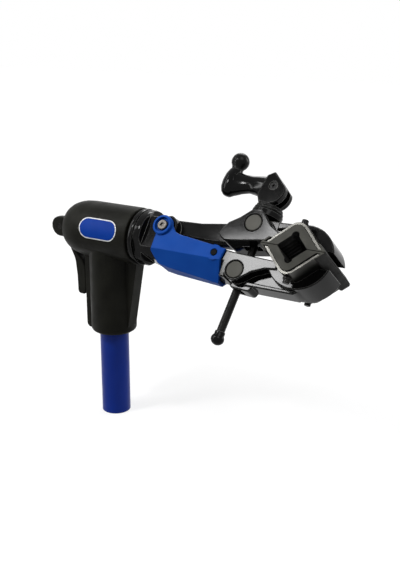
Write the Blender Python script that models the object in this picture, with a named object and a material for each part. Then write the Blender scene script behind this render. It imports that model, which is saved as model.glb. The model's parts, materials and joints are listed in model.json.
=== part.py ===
"""Head of a bike repair stand: post, pivoting clamp with a cam crank, jaws and swivel lock."""

import math

import bmesh
import bpy
from mathutils import Matrix, Vector

MM = 0.001
FIT = 0.3 * MM          # air left between two pieces that sit on or in each other
RUN = 0.4 * MM          # air left around a piece that turns or slides

# Post: a painted tube, cut off square below the head
POST_RADIUS = 19.05 * MM
POST_WALL = 1.65 * MM
POST_SHOWN = 116 * MM
POST_SEATED = 84 * MM

# Head casting: a column on the post and a barrel across its top
COLUMN_RADIUS = 30 * MM
HEAD_RISE = 133 * MM            # foot of the column to the barrel's axis
BARREL_RADIUS = 36 * MM
BARREL_FRONT = 47 * MM
BARREL_REAR = 64 * MM
DOME_LENGTH = 34 * MM
REAR_FACE_RADIUS = 18.5 * MM
RIB_WIDTH = 18 * MM
RIB_REACH = 8.6 * MM            # back rib, beyond the column
EAR_GAP = 15 * MM               # between the two ears
EAR_THICKNESS = 9 * MM
EAR_RADIUS = 13 * MM
LEVER_BACK = 74 * MM            # lever pin, behind the post's axis
LEVER_PIN_RADIUS = 3.5 * MM

# Swivel: spindle in two bushes, nut and washer at the back, friction ring in front
FRONT_JOURNAL = 14 * MM
REAR_JOURNAL = 9 * MM
THREAD_END = 7 * MM
BUSH_WALL = 3.4 * MM
BUSH_LENGTH = 35 * MM
FLANGE = 2.7 * MM
RING_THICKNESS = 6.4 * MM
HUB_THICKNESS = 10.5 * MM
HUB_RADIUS = 34.6 * MM
REAR_WALL = 14 * MM
CAVITY_RADIUS = 13.5 * MM
PLUNGER_LENGTH = 7.2 * MM
BRAKE_TRAVEL = 1.5 * MM

# Clamp, in its own frame: X along the barrel, Y across the arms, Z from jaw to jaw
CLAMP_TILT = math.radians(36.17)
ARM_PIVOT = (92 * MM, 9 * MM)
ARM_RADIUS = 116 * MM           # arm pivot to each trunnion
UPPER_ANGLE = math.radians(10.9)
LOWER_ANGLE = math.radians(-18.7)
ARM_HALF = 24.5 * MM            # half width of the arms over the trunnions
BEAM_HALF = 12.5 * MM           # half width of the moving arm in the fork
WEB_HALF = 10.5 * MM
RIM_HALF = 14 * MM
LUG_RADIUS = 17 * MM
CHEEK_RADIUS = 16.5 * MM
CHEEK_TOP = 21 * MM             # fork cheeks over the hub, above the barrel's axis
EDGE = 1.2 * MM                 # broken edge of the castings
PIVOT_BOLT_RADIUS = 5 * MM
TRUNNION_RADIUS = 10 * MM
HUMP_RADIUS = 16.6 * MM

# Jaws
JAW_X = 273.6 * MM
JAW_HALF = 48.5 * MM            # half length of the pads
THROAT = 17.6 * MM              # jaw centre to a corner of the square throat
PAD_THICKNESS = 9.5 * MM
PAD_CORNER = 9.7 * MM
PLATE_THICKNESS = 3 * MM
LIP = 2 * MM
LIP_RISE = 8.5 * MM
SADDLE_RADIUS = 38.5 * MM
SADDLE_HALF = 22 * MM
PAD_SCREW_Y = 36 * MM

# Cover on the fixed arm
COVER_WALL = 3 * MM
COVER_END = 185.5 * MM
COVER_START = 85.5 * MM
COVER_SLANT = 8 * MM            # lower edge of the cover's open end, back from its upper edge
BOSS_RADIUS = 13 * MM           # ears of the cover round the arm pivot
BOSS_WELL = 9.6 * MM
BOSS_RISE = 3.6 * MM
COVER_SCREW = (171.2 * MM, -13.4 * MM)

# Adjusting screw and cam crank, measured along the screw from the upper trunnion
SCREW_RADIUS = 4.76 * MM
SCREW_TAIL = 77.8 * MM          # beyond the lower trunnion
END_BALL = 8 * MM
COLLAR_RADIUS = 19 * MM
COLLAR_TOP = 23 * MM
WASHER_THICKNESS = 3.1 * MM
CAM_PIN = 53.2 * MM
CAM_HALF = 13 * MM
EYE_HALF = 4.8 * MM
CAM_PIN_RADIUS = 3.5 * MM
CRANK_RADIUS = 62.5 * MM
KNOB_RADIUS = 11.2 * MM
STUD_RADIUS = 3 * MM

# Values that follow from those above
HEAD_FOOT = POST_SHOWN
BARREL_Z = HEAD_FOOT + HEAD_RISE
COVER_HALF = ARM_HALF + FIT + COVER_WALL
TRUNNION_UP = (
    ARM_PIVOT[0] + ARM_RADIUS * math.cos(UPPER_ANGLE),
    ARM_PIVOT[1] + ARM_RADIUS * math.sin(UPPER_ANGLE),
)
TRUNNION_LOW = (
    ARM_PIVOT[0] + ARM_RADIUS * math.cos(LOWER_ANGLE),
    ARM_PIVOT[1] + ARM_RADIUS * math.sin(LOWER_ANGLE),
)
SCREW_LEAN = math.atan2(TRUNNION_UP[0] - TRUNNION_LOW[0], TRUNNION_UP[1] - TRUNNION_LOW[1])
SPAN = math.hypot(TRUNNION_UP[0] - TRUNNION_LOW[0], TRUNNION_UP[1] - TRUNNION_LOW[1])
PAD_OUTER = THROAT + PAD_THICKNESS * math.sqrt(2)
PLATE_INNER = PAD_OUTER + FIT * math.sqrt(2)
PLATE_OUTER = PLATE_INNER + PLATE_THICKNESS * math.sqrt(2)
LIP_INNER = PLATE_OUTER + FIT * math.sqrt(2)
LIP_OUTER = LIP_INNER + LIP * math.sqrt(2)

for old in list(bpy.data.objects):
    bpy.data.objects.remove(old)


def finish(name, colour, metallic, roughness):
    """One Principled material."""
    material = bpy.data.materials.new(name)
    material.use_nodes = True
    shader = material.node_tree.nodes["Principled BSDF"]
    shader.inputs["Base Color"].default_value = (*colour, 1)
    shader.inputs["Metallic"].default_value = metallic
    shader.inputs["Roughness"].default_value = roughness
    return material


POST_PAINT = finish("post_paint", (0.006, 0.022, 0.17), 0, 0.3)
COMPOSITE = finish("composite", (0.022, 0.022, 0.02), 0, 0.6)
BLACK_COAT = finish("black_coat", (0.012, 0.012, 0.013), 0, 0.18)
SATIN_COAT = finish("satin_coat", (0.05, 0.05, 0.046), 0, 0.45)
COVER_PLASTIC = finish("cover_plastic", (0.02, 0.09, 0.45), 0, 0.35)
RUBBER = finish("rubber", (0.07, 0.07, 0.062), 0, 0.8)
STEEL = finish("steel", (0.5, 0.5, 0.48), 1, 0.35)
BLACK_STEEL = finish("black_steel", (0.03, 0.03, 0.03), 1, 0.35)
BRONZE = finish("bronze", (0.4, 0.25, 0.1), 1, 0.4)


def frame(name, location, turn, parent=None):
    """An empty on a joint's axis; its children are built around it."""
    empty = bpy.data.objects.new(name, None)
    bpy.context.scene.collection.objects.link(empty)
    empty.empty_display_size = 20 * MM
    empty.location = location
    empty.rotation_euler = turn
    empty.parent = parent
    bpy.context.view_layer.update()
    return empty


CLAMP = frame("clamp_frame", (0, 0, BARREL_Z), (-CLAMP_TILT, 0, 0))
MOVING = frame("arm_pivot_frame", (ARM_PIVOT[0], 0, ARM_PIVOT[1]), (0, 0, 0), CLAMP)
SCREW = frame(
    "screw_frame",
    (TRUNNION_UP[0] - ARM_PIVOT[0], 0, TRUNNION_UP[1] - ARM_PIVOT[1]),
    (0, SCREW_LEAN, 0),
    MOVING,
)
NUT = frame("nut_frame", (TRUNNION_LOW[0], 0, TRUNNION_LOW[1]), (0, SCREW_LEAN, 0), CLAMP)
CAM = frame("cam_frame", (0, 0, CAM_PIN), (0, 0, 0), SCREW)
KNOB = frame("knob_frame", (-CRANK_RADIUS, 0, 0), (0, 0, 0), CAM)
LEVER = frame("lever_frame", (-LEVER_BACK, 0, BARREL_Z), (0, 0, 0))


def rounded(corners, steps=4):
    """Outline from corners (x, z, radius), each corner with a radius drawn as an arc."""
    points = []
    count = len(corners)
    for index, (x, z, radius) in enumerate(corners):
        here = Vector((x, z))
        if radius <= 0:
            points.append(here)
            continue
        before = (Vector(corners[index - 1][:2]) - here).normalized()
        after = (Vector(corners[(index + 1) % count][:2]) - here).normalized()
        half = math.acos(max(-1, min(1, before.dot(after)))) / 2
        reach = radius / math.tan(half)
        middle = here + (before + after).normalized() * (radius / math.sin(half))
        first = here + before * reach - middle
        last = here + after * reach - middle
        sweep = math.pi - 2 * half
        side = 1 if first.x * last.y - first.y * last.x > 0 else -1
        for step in range(steps + 1):
            angle = side * sweep * step / steps
            cosine = math.cos(angle)
            sine = math.sin(angle)
            swung = Vector((first.x * cosine - first.y * sine, first.x * sine + first.y * cosine))
            points.append(middle + swung)
    return points


def arc(centre, radius, start, end, steps):
    """Square corners on a circle in the X-Z plane, angles in degrees from X towards Z."""
    points = []
    for step in range(steps + 1):
        angle = math.radians(start + (end - start) * step / steps)
        x = centre[0] + radius * math.cos(angle)
        points.append((x, centre[1] + radius * math.sin(angle), 0))
    return points


def shrunk(outline, edge):
    """Outline drawn in by edge all round, each side kept parallel."""
    points = [Vector((p[0], p[1])) for p in outline]
    count = len(points)
    area = 0
    for index in range(count):
        area += points[index - 1].cross(points[index])
    side = math.copysign(1, area)
    drawn = []
    for index, here in enumerate(points):
        before = (here - points[index - 1]).normalized()
        after = (points[(index + 1) % count] - here).normalized()
        first = side * Vector((-before.y, before.x))
        second = side * Vector((-after.y, after.x))
        drawn.append(here + (first + second) * edge / (1 + first.dot(second)))
    return drawn


def prism(outline, near, far, edge=0):
    """Outline in the X-Z plane, pushed from Y = near to Y = far, with edges broken by edge."""
    mesh = bmesh.new()
    layers = [(outline, near), (outline, far)]
    if edge > 0:
        face = shrunk(outline, edge)
        layers = [(face, near), (outline, near + edge), (outline, far - edge), (face, far)]
    rows = []
    for shape, depth in layers:
        rows.append([mesh.verts.new((p[0], depth, p[1])) for p in shape])
    mesh.faces.new(rows[0])
    mesh.faces.new(rows[-1][::-1])
    count = len(outline)
    for front, back in zip(rows, rows[1:]):
        for index in range(count):
            following = (index + 1) % count
            mesh.faces.new((front[index], back[index], back[following], front[following]))
    bmesh.ops.recalc_face_normals(mesh, faces=mesh.faces)
    return mesh


def turned(profile, sides=32, ring=False):
    """Solid of revolution about Z from (radius, height) points; a ring closes on itself."""
    mesh = bmesh.new()
    rows = []
    for radius, height in profile:
        if radius == 0:
            rows.append([mesh.verts.new((0, 0, height))])
            continue
        row = []
        for side in range(sides):
            angle = 2 * math.pi * (side + 0.5) / sides
            row.append(mesh.verts.new((radius * math.cos(angle), radius * math.sin(angle), height)))
        rows.append(row)
    pairs = list(zip(rows, rows[1:]))
    if ring:
        pairs.append((rows[-1], rows[0]))
    for low, high in pairs:
        for side in range(sides):
            after = (side + 1) % sides
            if len(low) == 1 and len(high) == 1:
                break
            if len(low) == 1:
                mesh.faces.new((low[0], high[side], high[after]))
            elif len(high) == 1:
                mesh.faces.new((low[side], low[after], high[0]))
            else:
                mesh.faces.new((low[side], low[after], high[after], high[side]))
    if not ring:
        for row in (rows[0], rows[-1]):
            if len(row) > 1:
                mesh.faces.new(row)
    bmesh.ops.recalc_face_normals(mesh, faces=mesh.faces)
    return mesh


def rod(radius, start, end, sides=24):
    """Plain cylinder along Z."""
    return turned([(radius, start), (radius, end)], sides)


def tube(outer, inner, start, end, sides=32):
    """Ring along Z, one bore."""
    return turned([(outer, start), (outer, end), (inner, end), (inner, start)], sides, True)


def along(mesh, axis, at=(0, 0, 0)):
    """Lay a mesh built along Z along X or Y, then shift it."""
    if axis == "X":
        mesh.transform(Matrix.Rotation(math.pi / 2, 4, "Y"))
    if axis == "Y":
        mesh.transform(Matrix.Rotation(-math.pi / 2, 4, "X"))
    mesh.transform(Matrix.Translation(at))
    return mesh


def object_from(name, meshes, base, parent):
    """Object holding the given bodies, built in base's frame and carried by parent."""
    whole = bpy.data.meshes.new(name)
    if len(meshes) == 1:
        meshes[0].to_mesh(whole)
    else:
        gathered = bmesh.new()
        for part in meshes:
            piece = bpy.data.meshes.new("body")
            part.to_mesh(piece)
            gathered.from_mesh(piece)
            bpy.data.meshes.remove(piece)
        gathered.to_mesh(whole)
        gathered.free()
    for part in meshes:
        part.free()
    thing = bpy.data.objects.new(name, whole)
    bpy.context.scene.collection.objects.link(thing)
    if parent is not None:
        thing.parent = parent
        own = base.matrix_world if base is not None else Matrix.Identity(4)
        thing.matrix_parent_inverse = parent.matrix_world.inverted() @ own
    return thing


def part(name, meshes, material, base=None, parent=None):
    """One sub-part, shaded smooth except at its edges."""
    if parent is None:
        parent = base
    thing = object_from(name, meshes, base, parent)
    thing.data.materials.append(material)
    thing.data.shade_smooth()
    thing.data.set_sharp_from_angle(angle=math.radians(32))
    return thing


def combine(thing, mesh, operation, base=None, label="cut"):
    """Boolean between a sub-part and one hidden body."""
    tool = object_from(thing.name + "_" + label, [mesh], base, thing.parent)
    tool.hide_render = True
    tool.hide_viewport = True
    tool.display_type = "WIRE"
    step = thing.modifiers.new(label, "BOOLEAN")
    step.operation = operation
    step.solver = "EXACT"
    step.object = tool


def add(thing, mesh, base=None):
    combine(thing, mesh, "UNION", base, "add")


def cut(thing, mesh, base=None):
    combine(thing, mesh, "DIFFERENCE", base, "cut")


# Post tube, with two holes in its back for the screws that hold the head
POST_TOP = POST_SHOWN + POST_SEATED
post = part(
    "post_tube", [tube(POST_RADIUS, POST_RADIUS - POST_WALL, 0, POST_TOP, 34)], POST_PAINT
)
POST_SCREWS = (HEAD_FOOT + 11 * MM, HEAD_FOOT + 28 * MM)
POST_SCREW_RADIUS = 3 * MM
RIB_X = -(COLUMN_RADIUS + RIB_REACH)
for height in POST_SCREWS:
    hole = rod(POST_SCREW_RADIUS + FIT, -POST_RADIUS * 1.3, -POST_RADIUS * 0.5, 16)
    cut(post, along(hole, "X", (0, 0, height)))

# Head casting: column, barrel with a domed back, front gusset, back rib and two ears
foot = 5 * MM
column = [(COLUMN_RADIUS - foot, HEAD_FOOT)]
for step in range(1, 5):
    turn = math.radians(90 * step / 4)
    column.append(
        (
            COLUMN_RADIUS - foot + foot * math.sin(turn),
            HEAD_FOOT + foot - foot * math.cos(turn),
        )
    )
column.append((COLUMN_RADIUS, BARREL_Z))
head = part("head_casting", [turned(column, 28)], COMPOSITE)
front_edge = 2 * MM
barrel = [
    (BARREL_RADIUS - front_edge, BARREL_FRONT),
    (BARREL_RADIUS - 0.3 * front_edge, BARREL_FRONT - 0.3 * front_edge),
    (BARREL_RADIUS, BARREL_FRONT - front_edge),
]
for step in range(7):
    turn = math.radians(90 * step / 6)
    barrel.append(
        (
            REAR_FACE_RADIUS + (BARREL_RADIUS - REAR_FACE_RADIUS) * math.cos(turn),
            -BARREL_REAR + DOME_LENGTH * (1 - math.sin(turn)),
        )
    )
add(head, along(turned(barrel, 32), "X", (0, 0, BARREL_Z)))
gusset = [
    (0, HEAD_FOOT + foot),
    (COLUMN_RADIUS * 0.99, HEAD_FOOT + 2 * foot),
    (BARREL_FRONT - 2 * MM, BARREL_Z - BARREL_RADIUS * 0.95),
    (BARREL_FRONT - 2 * MM, BARREL_Z - BARREL_RADIUS * 0.5),
    (0, BARREL_Z - BARREL_RADIUS * 0.5),
]
add(head, prism(gusset, -RIB_WIDTH / 2, RIB_WIDTH / 2))
back_rib = rounded(
    [
        (0, HEAD_FOOT - 1.5 * MM, 0),
        (0, BARREL_Z - BARREL_RADIUS * 0.8, 0),
        (RIB_X, BARREL_Z - BARREL_RADIUS * 0.8, 0),
        (RIB_X, HEAD_FOOT - 1.5 * MM, 6 * MM),
    ]
)
add(head, prism(back_rib, -RIB_WIDTH / 2, RIB_WIDTH / 2))
for side in (-1, 1):
    ear = [
        (-BARREL_REAR + 20 * MM, BARREL_Z - EAR_RADIUS),
        (-BARREL_REAR + 20 * MM, BARREL_Z + EAR_RADIUS),
    ]
    ear += arc((-LEVER_BACK, BARREL_Z), EAR_RADIUS, 90, 270, 9)
    inner = side * EAR_GAP / 2
    outer = side * (EAR_GAP / 2 + EAR_THICKNESS)
    add(head, prism(ear, min(inner, outer), max(inner, outer), EDGE))
cut(head, rod(POST_RADIUS + FIT, HEAD_FOOT - 10 * MM, POST_TOP + FIT, 34))
BUSH_OUTER = FRONT_JOURNAL + RUN + BUSH_WALL
WALL_FRONT = -(BARREL_REAR - 28 * MM - REAR_WALL + 4 * MM)
WALL_REAR = WALL_FRONT - REAR_WALL
REAR_BUSH_OUTER = REAR_JOURNAL + RUN + 2.4 * MM
cut(
    head,
    along(rod(BUSH_OUTER + FIT, WALL_FRONT, BARREL_FRONT + 5 * MM, 20), "X", (0, 0, BARREL_Z)),
)
cut(
    head,
    along(
        rod(REAR_BUSH_OUTER + FIT, WALL_REAR - 3 * MM, WALL_FRONT + 3 * MM, 16),
        "X",
        (0, 0, BARREL_Z),
    ),
)
cut(
    head,
    along(rod(CAVITY_RADIUS, -BARREL_REAR - 0.5 * MM, WALL_REAR, 24), "X", (0, 0, BARREL_Z)),
)
slot = [
    (-LEVER_BACK - 2 * EAR_RADIUS, BARREL_Z - 2 * EAR_RADIUS),
    (-LEVER_BACK - 2 * EAR_RADIUS, BARREL_Z + 2 * EAR_RADIUS),
    (-BARREL_REAR + 1.5 * MM, BARREL_Z + 2 * EAR_RADIUS),
    (-BARREL_REAR + 1.5 * MM, BARREL_Z - 2 * EAR_RADIUS),
]
cut(head, prism(slot, -EAR_GAP / 2, EAR_GAP / 2))
EAR_OUTER = EAR_GAP / 2 + EAR_THICKNESS
cut(
    head,
    along(
        rod(LEVER_PIN_RADIUS + FIT, -EAR_OUTER - 5 * MM, EAR_OUTER + 5 * MM),
        "Y",
        (-LEVER_BACK, 0, BARREL_Z),
    ),
)
SCREW_HEAD_DEPTH = 4 * MM
for height in POST_SCREWS:
    cut(head, along(rod(POST_SCREW_RADIUS + FIT, RIB_X - 5 * MM, -15 * MM, 16), "X", (0, 0, height)))
    cut(
        head,
        along(
            rod(2 * POST_SCREW_RADIUS + FIT, RIB_X - 5 * MM, RIB_X + SCREW_HEAD_DEPTH, 20),
            "X",
            (0, 0, height),
        ),
    )
for name, height in zip(("post_screw_low", "post_screw_high"), POST_SCREWS):
    profile = [
        (0, RIB_X + 0.4 * MM),
        (2 * POST_SCREW_RADIUS, RIB_X + 0.4 * MM),
        (2 * POST_SCREW_RADIUS, RIB_X + SCREW_HEAD_DEPTH - FIT),
        (POST_SCREW_RADIUS, RIB_X + SCREW_HEAD_DEPTH - FIT),
        (POST_SCREW_RADIUS, -POST_RADIUS + POST_WALL + 1 * MM),
        (0, -POST_RADIUS + POST_WALL + 1 * MM),
    ]
    part(name, [along(turned(profile, 12), "X", (0, 0, height))], BLACK_STEEL)

# Swivel bearing inside the barrel
FLANGE_X = BARREL_FRONT + FIT
RING_X = FLANGE_X + FLANGE + FIT
HUB_X = RING_X + RING_THICKNESS + FIT
HUB_END = HUB_X + HUB_THICKNESS
bush = [
    (BUSH_OUTER, BARREL_FRONT - BUSH_LENGTH),
    (BUSH_OUTER, FLANGE_X),
    (BARREL_RADIUS - 5 * MM, FLANGE_X),
    (BARREL_RADIUS - 5 * MM, FLANGE_X + FLANGE),
    (FRONT_JOURNAL + RUN, FLANGE_X + FLANGE),
    (FRONT_JOURNAL + RUN, BARREL_FRONT - BUSH_LENGTH),
]
part("front_bush", [along(turned(bush, 20, True), "X", (0, 0, BARREL_Z))], BRONZE)
edge = 1.6 * MM
ring_outer = BARREL_RADIUS - 0.4 * MM
friction = [
    (ring_outer - edge, RING_X),
    (ring_outer - 0.3 * edge, RING_X + 0.3 * edge),
    (ring_outer, RING_X + edge),
    (ring_outer, RING_X + RING_THICKNESS - edge),
    (ring_outer - 0.3 * edge, RING_X + RING_THICKNESS - 0.3 * edge),
    (ring_outer - edge, RING_X + RING_THICKNESS),
    (FRONT_JOURNAL + FIT, RING_X + RING_THICKNESS),
    (FRONT_JOURNAL + FIT, RING_X),
]
part("friction_ring", [along(turned(friction, 24, True), "X")], BLACK_COAT, CLAMP)
rear_bush = [
    (REAR_BUSH_OUTER, WALL_FRONT + 1 * MM),
    (REAR_JOURNAL + RUN, WALL_FRONT + 1 * MM),
    (REAR_JOURNAL + RUN, WALL_REAR - FIT - FLANGE),
    (CAVITY_RADIUS - FIT, WALL_REAR - FIT - FLANGE),
    (CAVITY_RADIUS - FIT, WALL_REAR - FIT),
    (REAR_BUSH_OUTER, WALL_REAR - FIT),
]
part("rear_bush", [along(turned(rear_bush, 16, True), "X", (0, 0, BARREL_Z))], BRONZE)
WASHER_X = WALL_REAR - FIT - FLANGE - RUN
spindle_washer = tube(CAVITY_RADIUS - 1 * MM, THREAD_END + FIT, WASHER_X - 2 * MM, WASHER_X, 20)
part("spindle_washer", [along(spindle_washer, "X")], STEEL, CLAMP)
NUT_X = WASHER_X - 2 * MM - FIT
NUT_THICKNESS = 8 * MM
hexagon = rod(CAVITY_RADIUS - 1 * MM, NUT_X - NUT_THICKNESS, NUT_X, 6)
spindle_nut = part("spindle_nut", [along(hexagon, "X")], STEEL, CLAMP)
cut(spindle_nut, along(rod(THREAD_END + FIT, -80 * MM, 0), "X"), CLAMP)
SPINDLE_END = NUT_X - NUT_THICKNESS - 1 * MM
SPINDLE_FRONT = HUB_END + 4 * MM
spindle = [
    (0, SPINDLE_END),
    (THREAD_END, SPINDLE_END),
    (THREAD_END, WASHER_X + 0.5 * MM),
    (REAR_JOURNAL, WASHER_X + 0.5 * MM),
    (REAR_JOURNAL, WALL_FRONT + 8 * MM),
    (FRONT_JOURNAL, WALL_FRONT + 12 * MM),
    (FRONT_JOURNAL, SPINDLE_FRONT - 1 * MM),
    (FRONT_JOURNAL - 1 * MM, SPINDLE_FRONT),
    (0, SPINDLE_FRONT),
]
part("spindle", [along(turned(spindle, 16), "X")], STEEL, CLAMP)
PLUNGER_X = SPINDLE_END - BRAKE_TRAVEL * 0.2
PLUNGER_REAR = PLUNGER_X - PLUNGER_LENGTH
plunger = [
    (0, PLUNGER_REAR),
    (CAVITY_RADIUS - 2 * MM, PLUNGER_REAR),
    (CAVITY_RADIUS - RUN, PLUNGER_REAR + 1.5 * MM),
    (CAVITY_RADIUS - RUN, PLUNGER_X),
    (0, PLUNGER_X),
]
part("brake_plunger", [along(turned(plunger, 20), "X", (0, 0, BARREL_Z))], STEEL)

# Lock lever: a cam between the ears and a tail that hangs in front of the back rib
CAM_LOCKED = LEVER_BACK + PLUNGER_REAR - FIT
LEVER_HALF = EAR_GAP / 2 - RUN
LEVER_REACH = 91 * MM
tip_in = LEVER_BACK + RIB_X - 2 * MM
tip_out = tip_in - 14.5 * MM
lever = arc((0, 0), CAM_LOCKED, -28, 6, 3)
lever += arc((0, 0), CAM_LOCKED - BRAKE_TRAVEL - 0.2 * MM, 44, 190, 8)
lever += [
    (-0.62 * CAM_LOCKED, -9 * MM, 3 * MM),
    (3.2 * MM, -18 * MM, 6 * MM),
    (tip_out - 2.5 * MM, -44 * MM, 20 * MM),
    (tip_out, -66 * MM, 20 * MM),
    (tip_out + 0.5 * MM, -LEVER_REACH, 4 * MM),
    (tip_in - 3 * MM, -LEVER_REACH, 2 * MM),
    (tip_in, -LEVER_REACH + 8 * MM, 2 * MM),
    (tip_in, -52 * MM, 8 * MM),
    (tip_in - 5 * MM, -43 * MM, 6 * MM),
    (9 * MM, -25 * MM, 6 * MM),
    (7.6 * MM, -12 * MM, 3 * MM),
]
lock = part(
    "lock_lever", [prism(rounded(lever, 2), -LEVER_HALF, LEVER_HALF, EDGE)], COMPOSITE, LEVER
)
cut(lock, along(rod(LEVER_PIN_RADIUS + RUN, -20 * MM, 20 * MM), "Y"), LEVER)
part(
    "lever_pin",
    [along(rod(LEVER_PIN_RADIUS, -EAR_OUTER + 0.3 * MM, EAR_OUTER - 0.3 * MM, 20), "Y")],
    STEEL,
    LEVER,
)

# Fixed arm: hub flange, fork, beam, trunnion lug, web, rim and jaw saddle in one casting
round_edge = 3 * MM
hub = [
    (HUB_RADIUS - 1 * MM, HUB_X),
    (HUB_RADIUS, HUB_X + 1 * MM),
    (HUB_RADIUS, HUB_END - round_edge),
    (HUB_RADIUS - 0.3 * round_edge, HUB_END - 0.3 * round_edge),
    (HUB_RADIUS - round_edge, HUB_END),
]
fixed = part("fixed_arm", [along(turned(hub, 26), "X")], BLACK_COAT, CLAMP)
TOP_LINE = -7.4 * MM
beam = [
    (HUB_END - 4 * MM, -25 * MM),
    (COVER_START + 14 * MM, -33.5 * MM),
    (COVER_END + 6 * MM, -39.4 * MM),
    (COVER_END + 6 * MM, TOP_LINE),
    (ARM_PIVOT[0] + 27 * MM, -1.6 * MM),
]
beam += arc(ARM_PIVOT, CHEEK_RADIUS, -14, 70, 8)
beam += [(HUB_END + 13 * MM, CHEEK_TOP), (HUB_END - 4 * MM, CHEEK_TOP)]
add(fixed, prism(beam, -ARM_HALF, ARM_HALF, EDGE), CLAMP)
CHAMFER = COVER_HALF + 21 * MM - (COVER_WALL + FIT) * math.sqrt(2)


def chamfer_wedges(total, start, end, side):
    """Wedge outside the plane |Y| + |Z| = total on one flank, from X = start to end."""
    top = -8 * MM
    low = -60 * MM
    wedge = bmesh.new()
    rows = []
    for x in (start, end):
        corners = ((total + top, top), (total + low, low), (total + top, low))
        rows.append([wedge.verts.new((x, side * y, z)) for y, z in corners])
    wedge.faces.new(rows[0])
    wedge.faces.new(rows[1][::-1])
    for index in range(3):
        following = (index + 1) % 3
        wedge.faces.new(
            (rows[0][index], rows[1][index], rows[1][following], rows[0][following])
        )
    bmesh.ops.recalc_face_normals(wedge, faces=wedge.faces)
    return wedge


for side in (-1, 1):
    cut(fixed, chamfer_wedges(CHAMFER, HUB_END - 30 * MM, COVER_END, side), CLAMP)
LUG_LOW = 13 * MM
lower_lug = [(COVER_END + 0.5 * MM, TOP_LINE, 0), (COVER_END + 0.5 * MM, -31 * MM, 0)]
lower_lug += arc(TRUNNION_LOW, LUG_LOW, 215, 312, 8)
lower_lug += [
    (223 * MM, -28 * MM, 14 * MM),
    (238 * MM, -21.4 * MM, 14 * MM),
    (JAW_X - 22 * MM, -20 * MM, 0),
    (JAW_X - 22 * MM, -10.5 * MM, 0),
    (222 * MM, -9.2 * MM, 0),
]
add(fixed, prism(rounded(lower_lug), -ARM_HALF, ARM_HALF, EDGE), CLAMP)


def jaw_end(sign):
    """Web, rim and saddle outlines of one arm; sign is +1 for the upper arm."""
    knee = 206 * MM
    web = [
        (knee, sign * 34 * MM),
        (222 * MM, sign * 24 * MM),
        (JAW_X - 24 * MM, sign * 14 * MM),
        (JAW_X - 10 * MM, sign * 32 * MM),
        (JAW_X, sign * (SADDLE_RADIUS - 1.5 * MM)),
        (JAW_X - 2 * MM, sign * (SADDLE_RADIUS + 2.5 * MM)),
        (212 * MM, sign * 40.5 * MM),
    ]
    rim = [
        (knee + 8 * MM, sign * 36.6 * MM),
        (JAW_X - 12 * MM, sign * 37.4 * MM),
        (JAW_X + 1 * MM, sign * (SADDLE_RADIUS - 2 * MM)),
        (JAW_X + 10 * MM, sign * (SADDLE_RADIUS - 3 * MM)),
        (JAW_X + 1 * MM, sign * (SADDLE_RADIUS + 3.2 * MM)),
        (knee + 8 * MM, sign * 41.8 * MM),
    ]
    start = math.degrees(math.asin(LIP_RISE / SADDLE_RADIUS)) + 1.5
    saddle = arc((JAW_X, 0), SADDLE_RADIUS, sign * start, sign * (180 - start), 20)
    return web, rim, saddle


def seat_for_plate(sign):
    """Space for the bent plate and the pad behind it."""
    inner = PLATE_OUTER + FIT * math.sqrt(2)
    corner = PAD_CORNER + PLATE_THICKNESS + 2 * FIT
    return rounded(
        [
            (JAW_X - inner - 20 * MM, sign * -20 * MM, 0),
            (JAW_X, sign * inner, corner),
            (JAW_X + inner + 20 * MM, sign * -20 * MM, 0),
        ],
        6,
    )


def bore(radius, chamfer, half):
    """Through bore along Y with a chamfer at both mouths."""
    reach = half + 4 * MM
    wide = radius + chamfer + 4 * MM
    return along(
        turned(
            [
                (wide, -reach),
                (radius, -half + chamfer),
                (radius, half - chamfer),
                (wide, reach),
            ],
            28,
        ),
        "Y",
    )


def screw_slot(low, high, left, right):
    """Space in an arm for the adjusting screw, in the screw's own frame."""
    half = SCREW_RADIUS + 1.6 * MM
    return prism([(left, low), (right, low), (right, high), (left, high)], -half, half)


web, rim, saddle = jaw_end(-1)
add(fixed, prism(web, -WEB_HALF, WEB_HALF), CLAMP)
add(fixed, prism(rim, -RIM_HALF, RIM_HALF, EDGE), CLAMP)
add(fixed, prism(saddle, -SADDLE_HALF, SADDLE_HALF, EDGE), CLAMP)
exit_boss = rounded(
    [
        (193 * MM, -36 * MM, 0),
        (196 * MM, -46 * MM, 4 * MM),
        (221 * MM, -47.5 * MM, 4 * MM),
        (225 * MM, -38 * MM, 0),
    ]
)
add(fixed, prism(exit_boss, -11.5 * MM, 11.5 * MM, EDGE), CLAMP)
cut(fixed, prism(seat_for_plate(-1), -JAW_HALF, JAW_HALF), CLAMP)
fork = arc(ARM_PIVOT, LUG_RADIUS + 0.8 * MM, 90, 270, 12)
fork += [
    (ARM_PIVOT[0] + 40 * MM, ARM_PIVOT[1] - LUG_RADIUS - 0.8 * MM),
    (ARM_PIVOT[0] + 40 * MM, ARM_PIVOT[1] + 40 * MM),
    (ARM_PIVOT[0], ARM_PIVOT[1] + 40 * MM),
]
cut(fixed, prism(fork, -BEAM_HALF - RUN, BEAM_HALF + RUN), CLAMP)
PIVOT_AT = (ARM_PIVOT[0], 0, ARM_PIVOT[1])
cut(fixed, along(rod(PIVOT_BOLT_RADIUS + FIT, -50 * MM, 50 * MM), "Y", PIVOT_AT), CLAMP)
cut(fixed, along(rod(FRONT_JOURNAL + FIT, HUB_X - 5 * MM, SPINDLE_FRONT + FIT, 24), "X"), CLAMP)
cut(fixed, bore(TRUNNION_RADIUS + RUN, 1.4 * MM, ARM_HALF), NUT)
cut(fixed, screw_slot(-30 * MM, 40 * MM, -10.5 * MM, 10.5 * MM), NUT)
COVER_SCREW_RADIUS = 2.5 * MM
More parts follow.
